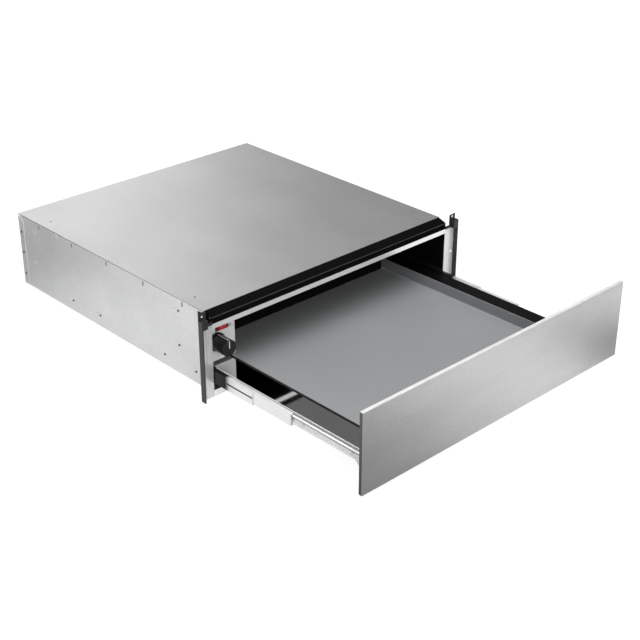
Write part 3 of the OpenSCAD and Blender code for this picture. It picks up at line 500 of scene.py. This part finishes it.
# The front panel with softly rounded edges, a top edge in a brighter, less metallic look than the panel
# (painted highlight) and dark ends (painted shade)

EDGE_H = 0.9
END_T = 0.3
INSET = 0.2
panel = block(
    (-PANEL_X + END_T / 2, PANEL_FRONT, PANEL_LOW),
    (PANEL_X - END_T / 2, PANEL_BACK, PANEL_TOP - EDGE_H / 2),
    bevel=0.5, segments=3)
finish_piece(panel, "panel_face", ["brushed_panel"], "drawer")
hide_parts("front_panel")
strip(
    "panel_edge",
    (-PANEL_X + END_T, PANEL_FRONT + INSET, PANEL_TOP - EDGE_H),
    (PANEL_X - END_T, PANEL_BACK - INSET, PANEL_TOP),
    0.3, "edge_painted_highlight", "drawer", "brushed_panel")

# The panel's ends are thin dark strips: painted shade
END_FRONT, END_LOW, END_TOP = 0.9, 1, 1.2  # how far the ends stay inside the panel's edges
for side, name in ((-1, "panel_end_left"), (1, "panel_end_right")):
    inner, outer = sorted((side * (PANEL_X - END_T), side * PANEL_X))
    strip(
        name,
        (inner, PANEL_FRONT + END_FRONT, PANEL_LOW + END_LOW),
        (outer, PANEL_BACK - INSET, PANEL_TOP - END_TOP),
        0.1, "panel_shade", "drawer", "brushed_panel")

# Front frame: bright strips between satin stiles, with rounded edges and two screw holes; the right stile's
# whiter look is a painted reflection of the white floor

LEFT_LOOK, RIGHT_LOOK = 1, 2  # places of the stiles' looks in the list below
face = block((-FRAME_X, -FRAME_T, FRAME_LOW), (FRAME_X, 0, STRIP_TOP))
for point, normal in (
    ((-OPEN_X, 0, 0), (1, 0, 0)), ((OPEN_X, 0, 0), (1, 0, 0)),
    ((0, 0, OPEN_LOW), (0, 0, 1)), ((0, 0, OPEN_TOP), (0, 0, 1)),
):
    edit_all()
    bpy.ops.mesh.bisect(plane_co=front(*point), plane_no=normal)
pick(face, "faces", lambda at, corners: abs(at.x) < 1 and OPEN_LOW < at.z < OPEN_TOP)
bpy.ops.mesh.bridge_edge_loops()
bpy.ops.object.mode_set(mode="OBJECT")
for side in (-1, 1):
    cutter = rod((side * HOLE_X, -FRAME_T / 2, HOLE_Z), HOLE_R, 4 * FRAME_T, "Y")
    deselect()
    face.select_set(True)
    bpy.context.view_layer.objects.active = face
    hole = face.modifiers.new("hole", "BOOLEAN")
    hole.object = cutter
    hole.solver = "EXACT"
    bpy.ops.object.modifier_apply(modifier=hole.name)
    bpy.data.objects.remove(cutter)
apply_bevel(face, 0.25)
finish_piece(face, "frame_face", ["strip_steel", "stile_steel", "stile_painted_reflection"], "case")
for polygon in face.data.polygons:
    if abs(polygon.center.x) > OPEN_X * MM:
        polygon.material_index = LEFT_LOOK if polygon.center.x < 0 else RIGHT_LOOK
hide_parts("front_frame")

# Warming plate: its right edge turns up into a lip with a fillet inside and a rounded top

FILLET_R, LIP_R, PLATE_R = 3, 0.55, 0.8
LIP_LOOK = 1  # place of the lip's look in the list below
LIP_FROM = 1.5  # the lip's look starts this far above the plate
SIDEWAYS = 0.6  # least sideways part of a lip face's normal

plate_top = PLATE_HIGH[2]
tray = block(PLATE_LOW, PLATE_HIGH)
edit_all()
bpy.ops.mesh.bisect(plane_co=front(LIP_IN, 0, 0), plane_no=(1, 0, 0))
pick(tray, "faces", lambda at, corners: at.x > LIP_IN and near(at.z, plate_top))
bpy.ops.mesh.extrude_region_move(TRANSFORM_OT_translate={"value": (0, 0, (LIP_TOP - plate_top) * MM)})
pick(tray, "edges", lambda at, corners: near(at.x, LIP_IN) and near(at.z, plate_top))
bpy.ops.mesh.bevel(offset=FILLET_R * MM, segments=6, affect="EDGES")
lip_middle = (LIP_IN + PLATE_HIGH[0]) / 2
pick(tray, "edges", lambda at, corners: near(at.z, LIP_TOP) and not near(at.x, lip_middle))
bpy.ops.mesh.bevel(offset=LIP_R * MM, segments=3, affect="EDGES")
pick(tray, "edges", lambda at, corners: near(at.x, PLATE_LOW[0]) and near(at.z, plate_top))
bpy.ops.mesh.bevel(offset=PLATE_R * MM, segments=3, affect="EDGES")
finish_piece(tray, "plate_tray", ["plate_grey", "plate_lip_shade"], "drawer", smooth=60)
# The lip's upright faces take the darker copy of the plate's grey: painted shade
for polygon in tray.data.polygons:
    if polygon.center.z > (plate_top + LIP_FROM) * MM and abs(polygon.normal.x) > SIDEWAYS:
        polygon.material_index = LIP_LOOK
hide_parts("warming_plate")

# A black strip under the plate's left edge that darkens it: painted shade
EDGE_SHADE_OUT, EDGE_SHADE_IN, EDGE_SHADE_DOWN = 0.7, 0.05, 0.3  # its gaps from the plate's left edge and top
strip(
    "plate_edge_shade",
    (PLATE_LOW[0] - EDGE_SHADE_OUT, PLATE_LOW[1], PLATE_LOW[2]),
    (PLATE_LOW[0] - EDGE_SHADE_IN, PLATE_HIGH[1], plate_top - EDGE_SHADE_DOWN),
    0.15, "rubber_pad", "drawer", "rubber_pad")

# Rolled edge on the deck's left wall, in a brighter, less metallic look than the deck: painted highlight

RIM_R, RIM_DOWN = 0.75, 0.1
rim_y = (PANEL_BACK + DECK_BACK) / 2
rim = rod((-RIM_X, rim_y, RIM_TOP - RIM_DOWN), RIM_R, DECK_BACK - PANEL_BACK, "Y", 0.2)
finish_piece(rim, "deck_rim", ["edge_painted_highlight"], "drawer")

# Rail: a light line along its front edge, a short filler to the left ear and a turned-back end

BEAD_R, BEAD_IN, BEAD_DOWN = 0.8, 0.1, 0.7
RETURN_LOW, RETURN_HIGH = (-270.7, 0, 117), (-270.02, 13, 138)
RAIL_SLOPE = (0, -6, 17.2)  # normal of the rail's slope up to the cover
bead = rod((0, -FRAME_T + BEAD_IN, RAIL_TOP - BEAD_DOWN), BEAD_R, 2 * OPEN_X, "X", 0.2)
finish_piece(bead, "rail_bead", ["rail_edge"], "case")
strip(
    "rail_end", (-EAR_X, -FRAME_T, STRIP_TOP), (-OPEN_X, 0, RAIL_TOP),
    0.2, "rail_black", "case", "black_enamel")
return_side = block(RETURN_LOW, RETURN_HIGH)
edit_all()
bpy.ops.mesh.bisect(
    plane_co=front(0, -FRAME_T, RAIL_TOP), plane_no=RAIL_SLOPE, clear_outer=True, use_fill=True)
finish_piece(return_side, "rail_return", ["rail_black"], "case")

# Beside the left slide, each by its name, corners, edge radius, look, body and slot: a dark strip along
# the outer cage and a grey strip on the inner slide's top flange, both painted shade for dark lines, grey
# bands on the deck's wall and the inner slide, and a dark mark on the middle slide

SLIDE_STRIPS = [
    ("cage_shadow_line", (-266.95, -92.5, 26.2), (-266.8, -30, 29), 0.05,
        "rail_edge", "cage_outer_left", "cage_steel"),
    ("wall_band", (-257.3, -350, 33.8), (-257.02, -64, 36.3), 0.1,
        "slide_grey", "drawer", "slide_zinc"),
    ("slide_face", (-262.85, -349, 31.4), (-262.52, -64, 33.3), 0.1,
        "slide_grey", "drawer", "slide_zinc"),
    # Grey strip on the slide's top flange: painted shade for the dark line there
    ("slide_top_shadow", (-258.75, -349, 33.45), (-257.35, -64, 33.6), 0.03,
        "slide_grey", "drawer", "slide_zinc"),
    ("slide_slot", (-260.9, -66, 36.9), (-259.1, -50, 37.12), 0.02,
        "seam_dark", "middle_left", "cage_steel"),
]
for row in SLIDE_STRIPS:
    strip(*row)

# Rocker with rounded corners, tilted as in the CAD

ROCKER_LOW, ROCKER_HIGH = (-227.84, 34.3, 81.7), (-207.84, 40, 90.3)
ROCKER_AXIS = (-217.84, 39, 86)
ROCKER_TILT = math.radians(-8)
ROCKER_CORNER, ROCKER_EDGE = 3.2, 0.6
rocker = block(ROCKER_LOW, ROCKER_HIGH)
pick(rocker, "edges", lambda at, corners: (
    near(corners[0].x, corners[1].x) and near(corners[0].z, corners[1].z)))
bpy.ops.mesh.bevel(offset=ROCKER_CORNER * MM, segments=5, affect="EDGES")
bpy.ops.mesh.select_all(action="SELECT")
bpy.ops.transform.rotate(value=ROCKER_TILT, orient_axis="Z", center_override=front(*ROCKER_AXIS))
bpy.ops.object.mode_set(mode="OBJECT")
apply_bevel(rocker, ROCKER_EDGE)
finish_piece(rocker, "rocker_cap", ["switch_red"], "rocker")
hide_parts("power_rocker")

# Dark joint between the top cover and the left side sheet

strip(
    "cover_seam", (-270.06, 16.5, 136.4), (-269.9, 533, 137.1),
    0.02, "seam_dark", "case", "light_sheet")
